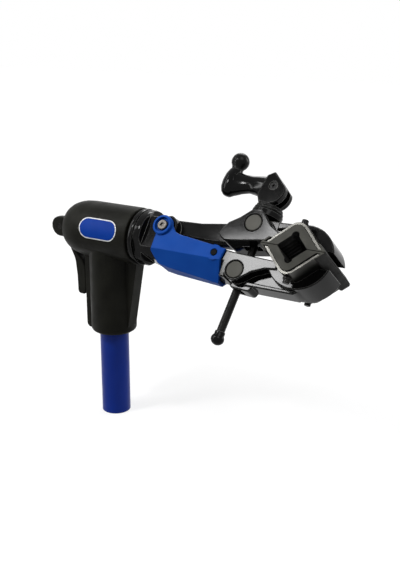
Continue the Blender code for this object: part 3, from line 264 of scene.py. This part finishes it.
FINISHES = {
    "post_paint": finish("blue_enamel", (0.0013, 0.018, 0.185), (0.0018, 0.022, 0.22), (0.3, 0.4),
                         grain=260, depth=0.02, patch=18, specular=0.12),
    "composite": finish("black_moulding", (0.003, 0.003, 0.002), (0.008, 0.008, 0.006), (0.4, 0.54),
                        grain=1500, depth=0.08, edge=1.2, specular=0.06),
    # The gloss and satin blacks get light grey edges, partly wear and partly painted highlight
    "black_coat": finish("gloss_black", (0.002, 0.002, 0.002), (0.004, 0.004, 0.004), (0.08, 0.11),
                         grain=200, depth=0.001, edge=1.0, specular=0.08, wear_and_highlight=0.9),
    "satin_coat": finish("satin_black", (0.004, 0.004, 0.004), (0.008, 0.008, 0.008), (0.08, 0.11),
                         grain=200, depth=0.001, edge=1.0, specular=0.06, wear_and_highlight=0.9),
    "cover_plastic": finish("blue_moulding", (0.0042, 0.05, 0.275), (0.006, 0.06, 0.315), (0.44, 0.54),
                            grain=1300, depth=0.03, edge=0.9, specular=0.04),
    "rubber": finish("grey_rubber", (0.034, 0.034, 0.029), (0.056, 0.055, 0.047), (0.62, 0.8),
                     grain=1100, depth=0.08, edge=0.6, specular=0.2),
    "steel": finish("bright_steel", (0.34, 0.33, 0.3), (0.46, 0.45, 0.42), (0.3, 0.42),
                    metallic=1, grain=1600, depth=0.02, edge=0.3),
    "black_steel": finish("black_oxide", (0.004, 0.004, 0.004), (0.01, 0.009, 0.008), (0.26, 0.38),
                          grain=1200, depth=0.03, edge=0.3, specular=0.1),
    "bronze": finish("sintered_bronze", (0.34, 0.22, 0.09), (0.45, 0.3, 0.14), (0.35, 0.5),
                     metallic=1, grain=1800, depth=0.03, edge=0.3),
    "pin_face": finish("phosphated_steel", (0.066, 0.065, 0.056), (0.098, 0.096, 0.085), (0.5, 0.64),
                       grain=1500, depth=0.05, edge=0.5, specular=0.12),
    "knob": finish("satin_knob", (0.003, 0.003, 0.003), (0.006, 0.006, 0.005), (0.22, 0.32),
                   grain=700, depth=0.02, edge=0.6, specular=0.08),
    "bolt_steel": finish("dull_zinc", (0.04, 0.037, 0.034), (0.068, 0.063, 0.058), (0.34, 0.46),
                         metallic=1, grain=1600, depth=0.02, edge=0.3),
    "plate_steel": finish("plated_steel", (0.04, 0.039, 0.036), (0.064, 0.063, 0.058), (0.28, 0.38),
                          metallic=1, grain=1500, depth=0.02, edge=0.4),
    # Darker copy of the rubber for the pads' sides: painted shade
    "painted_shade_rubber": finish("painted_shade_rubber", (0.008, 0.008, 0.008), (0.014, 0.014, 0.013), (0.6, 0.75),
                          grain=1100, depth=0.08, edge=0.6, specular=0.15),
    "screw_black": finish("screw_black", (0.003, 0.003, 0.004), (0.006, 0.006, 0.007), (0.5, 0.62),
                          grain=1200, depth=0.03, edge=0.3, specular=0.04),
    "bearing_black": finish("bearing_black", (0.006, 0.006, 0.006), (0.012, 0.012, 0.011), (0.4, 0.5),
                            grain=1200, depth=0.03, edge=0.4, specular=0.25),
    "badge_blue": finish("badge_blue", (0.0022, 0.03, 0.22), (0.003, 0.036, 0.26), (0.3, 0.4),
                         grain=500, depth=0.01, edge=0.2, specular=0.04),
    "badge_rim": finish("badge_rim", (0.52, 0.53, 0.54), (0.62, 0.63, 0.64), (0.25, 0.35),
                        grain=500, depth=0.01, edge=0.2),
}

# Nodes whose finish differs from that of their slot
OWN_FINISH = {
    "upper_trunnion": "pin_face",
    "lower_trunnion": "pin_face",
    "front_bush": "bearing_black",
    "pivot_bolt": "bolt_steel",
    "pivot_nut": "bolt_steel",
    "upper_jaw_plate": "plate_steel",
    "lower_jaw_plate": "plate_steel",
    "cover_screw_near": "screw_black",
    "cover_screw_far": "screw_black",
    "lever_pin": "black_steel",
    "cam_pin": "black_steel",
    "crank_knob": "knob",
}


def dress(solid, material):
    """Gives a solid its finish, smooth round faces and crisp edges."""
    solid.data.materials.clear()
    solid.data.materials.append(material)
    join = solid.modifiers.new("join", "WELD")
    join.merge_threshold = JOIN_DISTANCE
    crease = solid.modifiers.new("crease", "EDGE_SPLIT")
    crease.split_angle = SPLIT_ANGLE
    level_out = solid.modifiers.new("level", "WEIGHTED_NORMAL")
    level_out.weight = FACE_WEIGHT


for sub in record["subparts"]:
    look = OWN_FINISH.get(sub["node"], sub["material_slot"])
    dress(nodes[sub["node"]], FINISHES[look])


# Pieces that the solids leave out
def piece(name, mesh, material, body):
    """A new piece that rides on a body of the model."""
    data = bpy.data.meshes.new(name)
    mesh.to_mesh(data)
    mesh.free()
    data.materials.append(material)
    data.shade_smooth()
    data.set_sharp_from_angle(angle=SHARP_ANGLE)
    thing = bpy.data.objects.new(name, data)
    bpy.context.scene.collection.objects.link(thing)
    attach(thing, body)
    return thing


def axis_frame(point, axis):
    """Matrix whose Z runs along axis through point."""
    turn = Vector(axis).to_track_quat("Z", "Y").to_matrix().to_4x4()
    return Matrix.Translation(Vector(point)) @ turn


def capped_tube(mesh, rings):
    """Skins rings of corners, closes both ends and returns the side faces."""
    sides = []
    for near, far in zip(rings, rings[1:]):
        for index in range(len(near)):
            after = (index + 1) % len(near)
            sides.append(mesh.faces.new((near[index], far[index], far[after], near[after])))
    mesh.faces.new(rings[0])
    mesh.faces.new(rings[-1])
    bmesh.ops.recalc_face_normals(mesh, faces=mesh.faces)
    return sides


# Thread on the adjusting screw: one helical ridge from below the upper swivel pin to near the end ball
def thread():
    """Closed ridge with a flat crest, whose foot lies just inside the screw."""
    mesh = bmesh.new()
    screw = joints["screw_turn"]
    place = axis_frame(screw["pos_m"], screw["axis"])
    profile = (
        (-RIDGE_SINK, -FOOT_HALF),
        (RIDGE, -CREST_HALF),
        (RIDGE, CREST_HALF),
        (-RIDGE_SINK, FOOT_HALF),
    )
    turns = int((THREAD_TO - THREAD_FROM) / PITCH)
    rings = []
    for step in range(turns * THREAD_STEPS + 1):
        angle = 2 * math.pi * step / THREAD_STEPS
        height = THREAD_FROM + PITCH * step / THREAD_STEPS
        around = Vector((math.cos(angle), math.sin(angle), 0))
        ring = []
        for out, along in profile:
            spot = around * (THREAD_RADIUS + out) + Vector((0, 0, height + along))
            ring.append(mesh.verts.new(place @ spot))
        rings.append(ring)
    capped_tube(mesh, rings)
    return mesh


piece("screw_thread", thread(), FINISHES["black_steel"], "screw")


# Hexagon sockets in the pivot bolt and the cam pin
def hex_socket(centre, axis, radius, depth):
    """Hexagon socket that fills a round recess: a closed cup with a rim, six walls and a floor."""
    mesh = bmesh.new()
    place = axis_frame(centre, axis)
    rings = [[], [], [], []]
    for side in range(SOCKET_SIDES):
        angle = 2 * math.pi * side / SOCKET_SIDES
        flat = (angle + math.pi / 6) % (math.pi / 3) - math.pi / 6
        reach = SOCKET_SHARE * radius / math.cos(flat)
        profile = ((radius, -depth - SOCKET_FLOOR), (radius, 0), (reach, 0), (reach, -depth))
        for ring, (out, height) in zip(rings, profile):
            spot = Vector((out * math.cos(angle), out * math.sin(angle), height))
            ring.append(mesh.verts.new(place @ spot))
    capped_tube(mesh, rings)
    return mesh


toward_viewer = Vector(joints["arm_open"]["axis"]).normalized()
pivot = Vector(joints["arm_open"]["pos_m"])
piece(
    "pivot_bolt_socket",
    hex_socket(pivot + toward_viewer * BOLT_FACE, toward_viewer, BOLT_RECESS_RADIUS, BOLT_RECESS_DEPTH),
    FINISHES["bolt_steel"],
    "clamp",
)
cam_pin = Vector(joints["cam_flip"]["pos_m"])
piece(
    "cam_pin_socket",
    hex_socket(cam_pin + toward_viewer * PIN_FACE, toward_viewer, PIN_RECESS_RADIUS, PIN_RECESS_DEPTH),
    FINISHES["black_steel"],
    "crank",
)

# Clamp's own frame: along the barrel, away from the viewer, and up between the arms
swivel = Vector(joints["clamp_turn"]["pos_m"])
barrel_way = Vector((1, 0, 0))
away = -toward_viewer
up = barrel_way.cross(away)


def in_clamp(x, y, z):
    """Point of the clamp's frame as a point of the model."""
    return swivel + barrel_way * x + away * y + up * z


# Rubber jaw pads with soft edges and grip ribs across the V; their sides take a darker copy of the
# rubber as painted shade
def corner_arc(before, here, after, radius, steps):
    """Points of the arc that rounds one corner of an outline."""
    one = (before - here).normalized()
    two = (after - here).normalized()
    half = math.acos(max(-1, min(1, one.dot(two)))) / 2
    middle = here + (one + two).normalized() * (radius / math.sin(half))
    first = here + one * (radius / math.tan(half)) - middle
    last = here + two * (radius / math.tan(half)) - middle
    sweep = math.pi - 2 * half
    side = math.copysign(1, first.cross(last))
    points = []
    for step in range(steps + 1):
        turn = Matrix.Rotation(side * sweep * step / steps, 2)
        points.append(middle + turn @ first)
    return points


def pad_outline(deep):
    """Half pad above the split as (x, z); deep opens the V by the depth of a groove."""
    throat = THROAT + deep * math.sqrt(2)
    root = THROAT + RELIEF - NOTCH
    gap = (throat - root) / math.sqrt(2) / NOTCH
    meet = math.radians(135) + math.acos(max(-1, min(1, gap)))
    lip = [
        Vector((-LIP_OUTER + LIP_RISE, LIP_RISE)),
        Vector((-LIP_OUTER + SPLIT + LIP_EDGE, SPLIT + LIP_EDGE)),
        Vector((-LIP_OUTER + SPLIT + LIP_EDGE_FOOT, SPLIT)),
        Vector((-throat + SPLIT - THROAT_EDGE_FOOT, SPLIT)),
        Vector((-throat + SPLIT + THROAT_EDGE, SPLIT + THROAT_EDGE)),
    ]
    notch = []
    for step in range(NOTCH_STEPS + 1):
        angle = meet + (math.pi - 2 * meet) * step / NOTCH_STEPS
        notch.append(Vector((NOTCH * math.cos(angle), root + NOTCH * math.sin(angle))))
    far_lip = [Vector((-point.x, point.y)) for point in reversed(lip)]
    left = Vector((-PAD_OUTER + LIP_SHELF, LIP_SHELF))
    right = Vector((PAD_OUTER - LIP_SHELF, LIP_SHELF))
    back = [
        Vector((LIP_INNER - LIP_RISE, LIP_RISE)),
        Vector((LIP_INNER - LIP_SHELF, LIP_SHELF)),
        right,
        *corner_arc(right, Vector((0, PAD_OUTER)), left, PAD_CORNER, PAD_CORNER_STEPS),
        left,
        Vector((-LIP_INNER + LIP_SHELF, LIP_SHELF)),
        Vector((-LIP_INNER + LIP_RISE, LIP_RISE)),
    ]
    return lip + notch + far_lip + back


def jaw_pad(sign):
    """Pad along the jaw: plain ends, with ribs and grooves in turn between them."""
    mesh = bmesh.new()
    stations = [(-JAW_HALF, 0), (-JAW_HALF + PLAIN_END, 0)]
    ribs = int((2 * JAW_HALF - 2 * PLAIN_END) / RIB_PITCH)
    start = -ribs * RIB_PITCH / 2
    for rib in range(ribs):
        for share, deep in RIB_PROFILE:
            stations.append((start + rib * RIB_PITCH + share * RIB_PITCH, deep))
    stations += [(JAW_HALF - PLAIN_END, 0), (JAW_HALF, 0)]
    rings = []
    for y, deep in stations:
        spots = [in_clamp(JAW_X + point.x, y, sign * point.y) for point in pad_outline(deep)]
        rings.append([mesh.verts.new(spot) for spot in spots])
    # The sides take the darker rubber as painted shade; the end faces keep the grey rubber
    for side in capped_tube(mesh, rings):
        side.material_index = 1
    return mesh


for sign, name, body in ((1, "upper", "upper_arm"), (-1, "lower", "clamp")):
    pad = piece(name + "_pad_rubber", jaw_pad(sign), FINISHES["rubber"], body)
    pad.data.materials.append(FINISHES["painted_shade_rubber"])
    soft_edge = pad.modifiers.new("soft_edge", "BEVEL")
    soft_edge.width = PAD_EDGE
    soft_edge.segments = PAD_EDGE_STEPS
    soft_edge.limit_method = "ANGLE"
    soft_edge.angle_limit = PAD_EDGE_ANGLE
    merge = pad.modifiers.new("merge", "WELD")
    merge.merge_threshold = PAD_MERGE
    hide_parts(name + "_jaw_pad")


# Plain badge on the barrel: an oblong with round ends, wrapped on the round surface
barrel_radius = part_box("head_casting")[1].z - swivel.z


def badge(length, height, lift):
    """Thin oblong plate that follows the barrel and sinks a little into it."""
    mesh = bmesh.new()
    top = []
    bottom = []
    for column in range(BADGE_COLUMNS + 1):
        x = -math.cos(math.pi * column / BADGE_COLUMNS) * length / 2
        over = max(0.0, abs(x) - (length - height) / 2)
        half = math.sqrt(max(0.0, (height / 2) ** 2 - over**2))
        for grid, radius in ((top, barrel_radius + lift), (bottom, barrel_radius - BADGE_SINK)):
            line = []
            for row in range(BADGE_ROWS + 1):
                angle = BADGE_UP + half * (2 * row / BADGE_ROWS - 1) / barrel_radius
                around = Vector((0, -math.cos(angle), math.sin(angle)))
                spot = swivel + Vector((BADGE_X + x, 0, 0)) + around * radius
                line.append(mesh.verts.new(spot))
            grid.append(line)
    for column in range(BADGE_COLUMNS):
        after = column + 1
        for row in range(BADGE_ROWS):
            for grid in (top, bottom):
                here = grid[column]
                there = grid[after]
                mesh.faces.new((here[row], there[row], there[row + 1], here[row + 1]))
        for row in (0, BADGE_ROWS):
            wall = (top[column][row], top[after][row], bottom[after][row], bottom[column][row])
            mesh.faces.new(wall)
    bmesh.ops.remove_doubles(mesh, verts=mesh.verts, dist=BADGE_MERGE)
    bmesh.ops.recalc_face_normals(mesh, faces=mesh.faces)
    return mesh


piece(
    "badge_rim",
    badge(BADGE_LENGTH, BADGE_HEIGHT, RIM_RAISE),
    FINISHES["badge_rim"],
    "head",
)
piece(
    "badge_field",
    badge(BADGE_LENGTH - 2 * RIM_WIDTH, BADGE_HEIGHT - 2 * RIM_WIDTH, FIELD_RAISE),
    FINISHES["badge_blue"],
    "head",
)


# Floor and world
def seen_directly(tree):
    """1 for rays that show the background: straight, mirrored or through glass."""
    path = tree.nodes.new("ShaderNodeLightPath")
    shown = combine(tree, "MAXIMUM", path.outputs["Is Camera Ray"], path.outputs["Is Glossy Ray"])
    return combine(tree, "MAXIMUM", shown, path.outputs["Is Transmission Ray"])


def white_paper():
    """Floor that keeps the shadow; lamps light it most near the object, so its glow grows outward."""
    material = bpy.data.materials.new("white_paper")
    material.use_nodes = True
    tree = material.node_tree
    tree.nodes.clear()
    lit = tree.nodes.new("ShaderNodeBsdfDiffuse")
    lit.inputs["Color"].default_value = (FLOOR_GREY, FLOOR_GREY, FLOOR_GREY, 1)
    place = tree.nodes.new("ShaderNodeTexCoord")
    distance = tree.nodes.new("ShaderNodeVectorMath")
    distance.operation = "LENGTH"
    tree.links.new(place.outputs["Object"], distance.inputs[0])
    level = map_range(tree, distance.outputs["Value"], GLOW_DISTANCES, GLOW_LEVELS)
    glow = tree.nodes.new("ShaderNodeEmission")
    tree.links.new(combine(tree, "MULTIPLY", seen_directly(tree), level), glow.inputs["Strength"])
    both = tree.nodes.new("ShaderNodeAddShader")
    tree.links.new(lit.outputs["BSDF"], both.inputs[0])
    tree.links.new(glow.outputs["Emission"], both.inputs[1])
    output = tree.nodes.new("ShaderNodeOutputMaterial")
    tree.links.new(both.outputs["Shader"], output.inputs["Surface"])
    return material


floor_mesh = bpy.data.meshes.new("floor")
corners = [(x * FLOOR_HALF, y * FLOOR_HALF, 0) for x, y in ((-1, -1), (1, -1), (1, 1), (-1, 1))]
floor_mesh.from_pydata(corners, [], [(0, 1, 2, 3)])
floor_mesh.materials.append(white_paper())
floor = bpy.data.objects.new("floor", floor_mesh)
bpy.context.scene.collection.objects.link(floor)
floor.location.z = cad_low.z - FLOOR_DROP

world = bpy.data.worlds.new("studio")
bpy.context.scene.world = world
world.use_nodes = True
sky = world.node_tree.nodes["Background"]
sky.inputs["Color"].default_value = (1, 1, 1, 1)
brightness = map_range(world.node_tree, seen_directly(world.node_tree), (0, 1), (AMBIENT, 1))
world.node_tree.links.new(brightness, sky.inputs["Strength"])


# Light
def softbox(name, toward, distance, width, height, power, roll=0):
    """Rectangular lamp that faces the clamp, turned by roll degrees; sizes in metres."""
    lamp = bpy.data.lights.new(name, "AREA")
    lamp.shape = "RECTANGLE"
    lamp.size = width
    lamp.size_y = height
    lamp.energy = power
    holder = bpy.data.objects.new(name, lamp)
    bpy.context.scene.collection.objects.link(holder)
    outward = Vector(toward).normalized()
    holder.location = LAMP_TARGET + outward * distance
    aim = (-outward).to_track_quat("-Z", "Y").to_matrix()
    holder.rotation_euler = (aim @ Matrix.Rotation(math.radians(roll), 3, "Z")).to_euler()


# Small lamps that the flat faces of the arms mirror
softbox("glint", (-0.437, -0.547, 0.714), distance=1.5, width=0.19, height=0.19, power=8.5, roll=45)
softbox("corner", (-0.413, -0.479, 0.775), distance=1.5, width=0.07, height=0.055, power=0.9, roll=45)

# Long lamps for streaks along round forms
softbox("strip", (-0.85, -0.75, 0.45), distance=1.5, width=0.12, height=1.0, power=5)
softbox("streak", (-0.76, -0.38, 0.53), distance=1.5, width=0.08, height=1.1, power=5, roll=34)

# Wide lamps behind the object
softbox("rim", (-0.3, 0.72, 0.62), distance=1.6, width=0.9, height=0.5, power=12)
softbox("back", (0.75, 0.8, 0.4), distance=1.6, width=0.5, height=1.0, power=12)

sun = bpy.data.lights.new("key", "SUN")
sun.energy = SUN_POWER
sun.angle = SUN_ANGLE
key = bpy.data.objects.new("key", sun)
bpy.context.scene.collection.objects.link(key)
key.rotation_euler = SUN_WAY.to_track_quat("-Z", "Y").to_euler()

# Camera
camera_data = bpy.data.cameras.new("camera")
camera_data.sensor_fit = "HORIZONTAL"
camera_data.sensor_width = SENSOR_WIDTH
camera_data.lens = SENSOR_WIDTH * FOCAL_PIXELS / PHOTO_WIDTH
camera = bpy.data.objects.new("camera", camera_data)
bpy.context.scene.collection.objects.link(camera)
camera.location = CAMERA_PLACE
gaze = (LOOK_AT - CAMERA_PLACE).to_track_quat("-Z", "Y")
camera.rotation_euler = (gaze.to_matrix() @ Matrix.Rotation(CAMERA_ROLL, 3, "Z")).to_euler()
bpy.context.scene.camera = camera
bpy.context.scene.view_settings.view_transform = "Standard"
